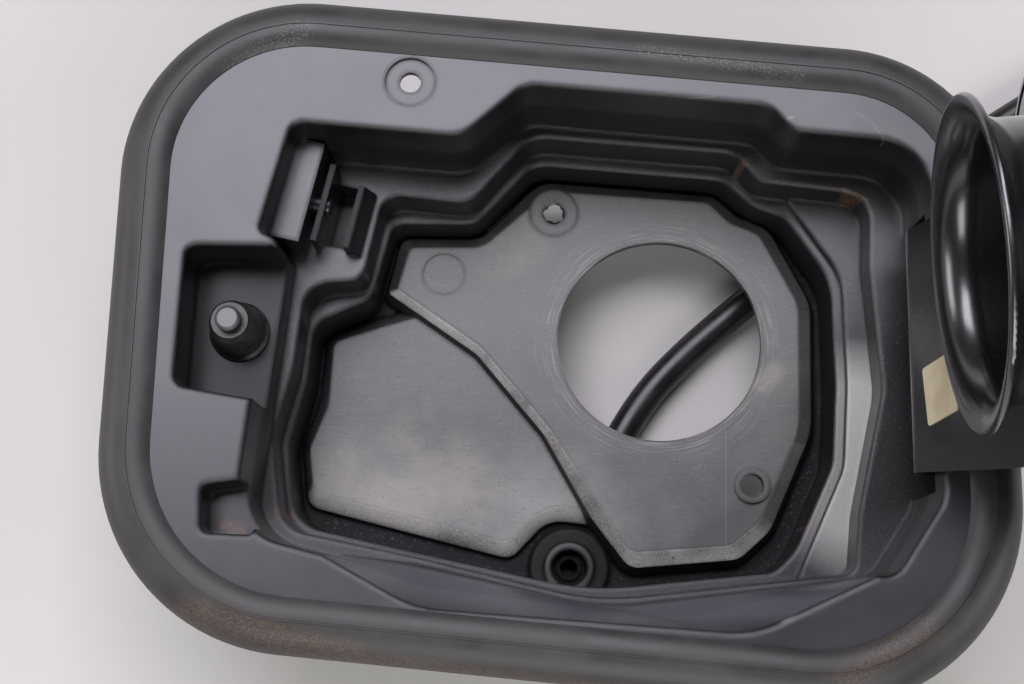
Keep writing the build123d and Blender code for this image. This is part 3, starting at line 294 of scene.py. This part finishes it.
# Clouds of dust 18 mm across, grit of 0.45 mm, skin grain of 0.3 mm.
clouds = add(tree, "ShaderNodeTexNoise", {"Vector": place, "Scale": 55.0, "Detail": 6.0, "Roughness": 0.65})
grit = add(tree, "ShaderNodeTexNoise", {"Vector": place, "Scale": 2200.0, "Detail": 3.0, "Roughness": 0.7})
skin = add(tree, "ShaderNodeTexNoise", {"Vector": place, "Scale": 3200.0, "Detail": 2.0})
dust = add(tree, "ShaderNodeMapRange", {"Value": clouds, "From Min": 0.32, "From Max": 0.7,
                                        "To Min": 0.25, "To Max": 0.8})
crumbs = add(tree, "ShaderNodeMapRange", {"Value": grit, "From Min": 0.68, "From Max": 0.76, "To Max": 0.5})
whitish = strokes(tree, flat, [(-14.0, 66.4, 28.0, 63.4, 2.5), (-120.0, 52.0, -104.0, 64.0, 5.0)], 0.3)
whitish = add(tree, "ShaderNodeMapRange", {"Value": grit, "From Min": 0.52, "From Max": 0.66,
                                           "To Max": whitish})
mud = strokes(tree, flat, [(-112.0, -90.0, -70.0, -97.0, 5.5), (-70.0, -97.0, 20.0, -99.0, 3.0),
                           (48.0, -90.0, 66.0, -76.0, 4.5), (40.6, 58.4, 42.2, 58.4, 1.6)], 0.35)
mud = add(tree, "ShaderNodeMapRange", {"Value": grit, "From Min": 0.46, "From Max": 0.64, "To Max": mud})
coat(tree, shader, "#1b191a", [(dust, "#403d3d"), (crumbs, "#6b6560"), (whitish, "#a9a59f"),
                               (mud, "#8a6a48")])
rough = add(tree, "ShaderNodeMapRange", {"Value": clouds, "From Min": 0.3, "From Max": 0.7,
                                         "To Min": 0.42, "To Max": 0.6})
bump = add(tree, "ShaderNodeBump", {"Height": skin, "Strength": 0.12, "Distance": 0.0002})
feed(tree, shader, Roughness=rough, Normal=bump)
dress(rubber, "perimeter_seal")

# Door buffer: a black rubber stop plugged through the recess's floor by a stem with a bulb.
# Its nub is polished flat and grey where the shut door rests on it.
stop_rubber, tree, shader, place = new_material("moulded_rubber_stop", Specular_IOR_Level=0.55)
rise = add(tree, "ShaderNodeSeparateXYZ", {"Vector": place}, "Z")
# Bloom in clouds of 4 mm, skin grain of 0.25 mm; the nub's polished top begins at 47 mm.
bloom = add(tree, "ShaderNodeTexNoise", {"Vector": place, "Scale": 260.0, "Detail": 5.0, "Roughness": 0.6})
skin = add(tree, "ShaderNodeTexNoise", {"Vector": place, "Scale": 4000.0, "Detail": 1.0})
bloom = add(tree, "ShaderNodeMapRange", {"Value": bloom, "From Min": 0.35, "From Max": 0.7, "To Max": 0.6})
nub = add(tree, "ShaderNodeMapRange", {"Value": rise, "From Min": 0.0468, "From Max": 0.0476, "To Max": 0.7})
coat(tree, shader, "#1c1a1b", [(bloom, "#3b3838"), (nub, "#6e6c6c")])
rough = add(tree, "ShaderNodeMapRange", {"Value": bloom, "To Min": 0.34, "To Max": 0.52})
bump = add(tree, "ShaderNodeBump", {"Height": skin, "Strength": 0.1, "Distance": 0.0002})
feed(tree, shader, Roughness=rough, Normal=bump)
dress(stop_rubber, "door_buffer")

# Hinge pin and its clip: turned steel with a zinc finish, hidden in the box under the flange.
# The same bright zinc covers the screws and nuts of the lock, the cup, the striker and the panel.
zinc, tree, shader, place = new_material("zinc_plated_steel", Metallic=1.0)
# Spangle of 1.2 mm and dull patches of 6 mm where the zinc has whitened.
spangle = add(tree, "ShaderNodeTexVoronoi", {"Vector": place, "Scale": 850.0}, "Distance")
dull = add(tree, "ShaderNodeTexNoise", {"Vector": place, "Scale": 170.0, "Detail": 5.0})
dull = add(tree, "ShaderNodeMapRange", {"Value": dull, "From Min": 0.45, "From Max": 0.65})
coat(tree, shader, "#b4b4b0", [(dull, "#8d8c86")])
rough = add(tree, "ShaderNodeMapRange", {"Value": dull, "To Min": 0.26, "To Max": 0.5})
bump = add(tree, "ShaderNodeBump", {"Height": spangle, "Strength": 0.06, "Distance": 0.0002})
feed(tree, shader, Roughness=rough, Normal=bump)
dress(zinc, "hinge_pin", "hinge_clip", "lock_screws", "cup_screws", "striker_screws", "panel_nuts")

# Hinge spacers: two rings of natural nylon that take up the play at the arm's ends.
# Slightly translucent, yellowed and grey with old grease.
nylon, tree, shader, place = new_material("natural_nylon", Roughness=0.38, Subsurface_Weight=0.15,
                                          Subsurface_Radius=(0.0012, 0.001, 0.0007))
# Grease in smears of 3 mm.
smears = add(tree, "ShaderNodeTexNoise", {"Vector": place, "Scale": 330.0, "Detail": 5.0, "Roughness": 0.6})
smears = add(tree, "ShaderNodeMapRange", {"Value": smears, "From Min": 0.45, "From Max": 0.7, "To Max": 0.7})
coat(tree, shader, "#d2ccbc", [(smears, "#8a8170")])
dress(nylon, "hinge_spacers")

# Hinge spring: a bent leaf of blued spring steel, seated in the hinge box.
# It presses on the arm's barrel and holds the door open or shut.
spring_steel, tree, shader, place = new_material("blued_spring_steel", Metallic=1.0, Roughness=0.34)
# Temper colours drift over 10 mm, drawn along the leaf in lines of 0.2 mm.
drift = add(tree, "ShaderNodeTexNoise", {"Vector": place, "Scale": 100.0, "Detail": 3.0})
drawn = add(tree, "ShaderNodeMapping", {"Vector": place, "Scale": (5000, 120, 5000)})
drawn = add(tree, "ShaderNodeTexNoise", {"Vector": drawn, "Scale": 1.0, "Detail": 1.0})
coat(tree, shader, "#4d5058", [(drift, "#6a6258")])
bump = add(tree, "ShaderNodeBump", {"Height": drawn, "Strength": 0.08, "Distance": 0.0001})
feed(tree, shader, Normal=bump)
dress(spring_steel, "hinge_spring")

# Lock case and cover: glass-filled nylon, screwed to the back of the latch recess.
# Matt and slightly mottled where the fibres lie at the surface.
filled_nylon, tree, shader, place = new_material("glass_filled_nylon")
# Fibres 1.5 mm long and 0.15 mm wide, mottling of 8 mm.
fibres = add(tree, "ShaderNodeMapping", {"Vector": place, "Scale": (700, 6500, 2500)})
fibres = add(tree, "ShaderNodeTexNoise", {"Vector": fibres, "Scale": 1.0, "Detail": 2.0})
mottle = add(tree, "ShaderNodeTexNoise", {"Vector": place, "Scale": 120.0, "Detail": 4.0})
pale = add(tree, "ShaderNodeMapRange", {"Value": fibres, "From Min": 0.55, "From Max": 0.75, "To Max": 0.4})
coat(tree, shader, "#1d1d1e", [(mottle, "#28282a"), (pale, "#454547")])
rough = add(tree, "ShaderNodeMapRange", {"Value": mottle, "To Min": 0.45, "To Max": 0.65})
bump = add(tree, "ShaderNodeBump", {"Height": fibres, "Strength": 0.08, "Distance": 0.0001})
feed(tree, shader, Roughness=rough, Normal=bump)
dress(filled_nylon, "lock_case", "lock_cover")

# Lock bolt: a sliding pin of black acetal in the lock's case, its tip at the latch recess.
# Its guide has polished it lengthwise.
acetal, tree, shader, place = new_material("black_acetal", Specular_IOR_Level=0.5)
# Rubbed lines 10 mm long and 0.2 mm wide along the pin.
lines = add(tree, "ShaderNodeMapping", {"Vector": place, "Scale": (100, 5000, 5000)})
lines = add(tree, "ShaderNodeTexNoise", {"Vector": lines, "Scale": 1.0, "Detail": 2.0})
bright = add(tree, "ShaderNodeMapRange", {"Value": lines, "From Min": 0.5, "From Max": 0.75, "To Max": 0.5})
coat(tree, shader, "#161617", [(bright, "#38383a")])
rough = add(tree, "ShaderNodeMapRange", {"Value": lines, "To Min": 0.22, "To Max": 0.42})
feed(tree, shader, Roughness=rough)
dress(acetal, "lock_bolt")

# Drain hose: extruded black rubber tube, 9 mm outside and 6 mm inside, pushed on the sump's nipple.
# Its free end is cut square and open; chalky bloom clouds the rubber.
hose_level, hose_radius, hose_wall = -17.5, 4.5, 1.5
route = [(-18.4, -60.1), (-11.0, -25.0), (18.0, 12.0), (85.0, 71.2), (125.0, 101.0)]
hose_line = bpy.data.curves.new("drain_hose_line", "CURVE")
hose_line.dimensions = "3D"
spline = hose_line.splines.new("NURBS")
spline.points.add(len(route) - 1)
for point, (x, y) in zip(spline.points, route):
    point.co = (x / 1000, y / 1000, hose_level / 1000, 1.0)
spline.order_u = 3
spline.use_endpoint_u = True
spline.resolution_u = 24
hose_line.bevel_depth = hose_radius / 1000
hose_line.bevel_resolution = 10
hose = bpy.data.objects.new("rubber_drain_hose", hose_line)
bpy.context.collection.objects.link(hose)
tube = hose.modifiers.new("tube_wall", "SOLIDIFY")
tube.thickness = hose_wall / 1000
tube.offset = -1.0
hose_rubber, tree, shader, place = new_material("extruded_hose_rubber", Specular_IOR_Level=0.5)
# Bloom in clouds of 12 mm, skin grain of 0.3 mm, grit of 0.8 mm.
bloom = add(tree, "ShaderNodeTexNoise", {"Vector": place, "Scale": 80.0, "Detail": 5.0, "Roughness": 0.6})
skin = add(tree, "ShaderNodeTexNoise", {"Vector": place, "Scale": 3000.0, "Detail": 1.0})
grit = add(tree, "ShaderNodeTexNoise", {"Vector": place, "Scale": 1200.0, "Detail": 2.0})
bloom = add(tree, "ShaderNodeMapRange", {"Value": bloom, "From Min": 0.4, "From Max": 0.7, "To Max": 0.55})
grit = add(tree, "ShaderNodeMapRange", {"Value": grit, "From Min": 0.68, "From Max": 0.76, "To Max": 0.4})
coat(tree, shader, "#141415", [(bloom, "#2b2a2a"), (grit, "#5c5752")])
rough = add(tree, "ShaderNodeMapRange", {"Value": bloom, "To Min": 0.3, "To Max": 0.5})
bump = add(tree, "ShaderNodeBump", {"Height": skin, "Strength": 0.06, "Distance": 0.0002})
feed(tree, shader, Roughness=rough, Normal=bump)
hose_line.materials.append(hose_rubber)
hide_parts("drain_hose")
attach(hose, "pocket")

# Door panel: the door's crowned outer skin, black paint under clear lacquer over moulded plastic.
# Its edge is turned over, and four studs hold it to the frame; the paint has the faint waviness of spraying.
paint, tree, shader, place = new_material("black_lacquered_panel", Roughness=0.3, Coat_Weight=1.0,
                                          Coat_Roughness=0.04)
# Flakes of 0.15 mm and orange peel of 2.5 mm.
flakes = add(tree, "ShaderNodeTexVoronoi", {"Vector": place, "Scale": 6500.0}, "Color")
flakes = add(tree, "ShaderNodeSeparateXYZ", {"Vector": flakes}, "X")
flakes = add(tree, "ShaderNodeMapRange", {"Value": flakes, "From Min": 0.7, "From Max": 1.0, "To Max": 0.5})
peel = add(tree, "ShaderNodeTexNoise", {"Vector": place, "Scale": 400.0, "Detail": 1.0})
coat(tree, shader, "#131416", [(flakes, "#34373c")])
bump = add(tree, "ShaderNodeBump", {"Height": peel, "Strength": 0.03, "Distance": 0.0003})
feed(tree, shader, Normal=bump, Coat_Normal=bump)
dress(paint, "door_panel")

# Door frame and cap cup: gloss black ABS. The gooseneck arm and hinge barrel are moulded in one with the
# frame's plate, and the flared cup is screwed to it. Wiping has left hair scratches, fingers a greasy film.
gloss, tree, shader, place = new_material("gloss_black_abs", Specular_IOR_Level=0.8, Coat_Weight=1.0,
                                          Coat_Roughness=0.2)
# Film in clouds of 20 mm, hair scratches 20 mm long and 0.08 mm wide in two directions, dust of 0.4 mm.
film = add(tree, "ShaderNodeTexNoise", {"Vector": place, "Scale": 50.0, "Detail": 4.0, "Roughness": 0.55})
film = add(tree, "ShaderNodeMapRange", {"Value": film, "From Min": 0.4, "From Max": 0.7})
hairs = []
for slope in (0.4, -0.7):
    hair = add(tree, "ShaderNodeMapping", {"Vector": place, "Rotation": (slope, 0.3, 0),
                                           "Scale": (4000, 50, 12000)})
    hair = add(tree, "ShaderNodeTexNoise", {"Vector": hair, "Scale": 1.0, "Detail": 1.0})
    hairs.append(add(tree, "ShaderNodeMapRange", {"Value": hair, "From Min": 0.68, "From Max": 0.78,
                                                  "To Max": 0.3}))
dust = add(tree, "ShaderNodeTexNoise", {"Vector": place, "Scale": 2600.0, "Detail": 2.0})
dust = add(tree, "ShaderNodeMapRange", {"Value": dust, "From Min": 0.68, "From Max": 0.76, "To Max": 0.35})
coat(tree, shader, "#101012", [(hairs[0], "#48474a"), (hairs[1], "#48474a"), (dust, "#77736e")])
rough = add(tree, "ShaderNodeMapRange", {"Value": film, "To Min": 0.26, "To Max": 0.34})
feed(tree, shader, Roughness=rough)
dress(gloss, "door_frame", "cap_cup")

# Fuel label: a bare plate of cream vinyl film, stuck on the arm a little askew.
# Yellowed in clouds, with a fine tooth.
vinyl, tree, shader, place = new_material("cream_vinyl_film", Roughness=0.42)
# Yellowing in clouds of 9 mm, tooth of 0.2 mm.
aged = add(tree, "ShaderNodeTexNoise", {"Vector": place, "Scale": 110.0, "Detail": 4.0})
tooth = add(tree, "ShaderNodeTexNoise", {"Vector": place, "Scale": 5000.0, "Detail": 1.0})
aged = add(tree, "ShaderNodeMapRange", {"Value": aged, "From Min": 0.35, "From Max": 0.65, "To Max": 0.8})
coat(tree, shader, "#cdc2a6", [(aged, "#b8a682")])
bump = add(tree, "ShaderNodeBump", {"Height": tooth, "Strength": 0.05, "Distance": 0.0001})
feed(tree, shader, Normal=bump)
dress(vinyl, "fuel_label")

# Door striker: a stamped and bent plate of black-coated steel, screwed to the door's frame.
# The lock's bolt enters its eye, and the coating has begun to wear bright.
coated, tree, shader, place = new_material("black_coated_steel", Roughness=0.4, Specular_IOR_Level=0.5)
# Coating grain of 0.4 mm; bright wear in patches of 5 mm.
coating = add(tree, "ShaderNodeTexNoise", {"Vector": place, "Scale": 2500.0, "Detail": 2.0})
wear = add(tree, "ShaderNodeTexNoise", {"Vector": place, "Scale": 200.0, "Detail": 5.0})
wear = add(tree, "ShaderNodeMapRange", {"Value": wear, "From Min": 0.6, "From Max": 0.75, "To Max": 0.6})
coat(tree, shader, "#1a1a1b", [(wear, "#6a6a69")])
bump = add(tree, "ShaderNodeBump", {"Height": coating, "Strength": 0.08, "Distance": 0.0001})
feed(tree, shader, Normal=bump)
dress(coated, "door_striker")

# Stage: a plain pale floor of paper under the hose. A wide cool window lights it from beyond the upper edge,
# weaker ones from below the lower edge and from both sides, and the camera looks down as in the photograph.
floor_level, floor_half = -0.0221, 4.0
corners = floor_half * np.array([(-1, -1, 0), (1, -1, 0), (1, 1, 0), (-1, 1, 0)]) + (0, 0, floor_level)
paper, tree, shader, place = new_material("pale_floor_paper", Roughness=0.8)
# Paper clouds of 60 mm.
cloudy = add(tree, "ShaderNodeTexNoise", {"Vector": place, "Scale": 16.0, "Detail": 3.0})
coat(tree, shader, "#bfbdba", [(cloudy, "#b9b7b4")])
floor = new_piece("floor", corners, np.arange(4)[None], paper)


def window(name, place, size, power, colour):
    """Rectangular area light at place, facing the frame's origin."""
    light = bpy.data.lights.new(name, "AREA")
    light.shape = "RECTANGLE"
    light.size, light.size_y = size
    light.energy = power
    light.color = colour
    lamp = bpy.data.objects.new(name, light)
    lamp.location = place
    x, y, z = place
    lamp.rotation_euler = (math.atan2(math.hypot(x, y), z), 0, math.atan2(x, -y))
    bpy.context.collection.objects.link(lamp)


window("sky_window", (-0.3, 0.78, 1.6), (1.7, 1.15), 41, (0.93, 0.9, 1.0))
window("room_fill", (0.2, -1.35, 0.95), (1.5, 0.9), 18, (1.0, 0.98, 0.96))
window("right_window", (1.45, -0.25, 0.85), (0.8, 0.7), 9, (1.0, 0.97, 0.94))
window("left_window", (-1.5, -0.1, 0.55), (0.9, 0.5), 7, (0.96, 0.97, 1.0))
world = bpy.data.worlds.new("room")
world.use_nodes = True
room = world.node_tree.nodes["Background"]
room.inputs["Color"].default_value = (0.9, 0.92, 0.96, 1)
room.inputs["Strength"].default_value = 0.1
bpy.context.scene.world = world
camera = bpy.data.objects.new("camera", bpy.data.cameras.new("camera"))
camera.location = (-0.0255, -0.0959, 0.4186)
camera.rotation_euler = (0.21753, 0.0169, 0.1)
camera.data.sensor_width = 36.0
camera.data.lens = 52.734
camera.data.clip_start = 0.01
bpy.context.collection.objects.link(camera)
bpy.context.scene.camera = camera
bpy.context.scene.view_settings.view_transform = "Standard"
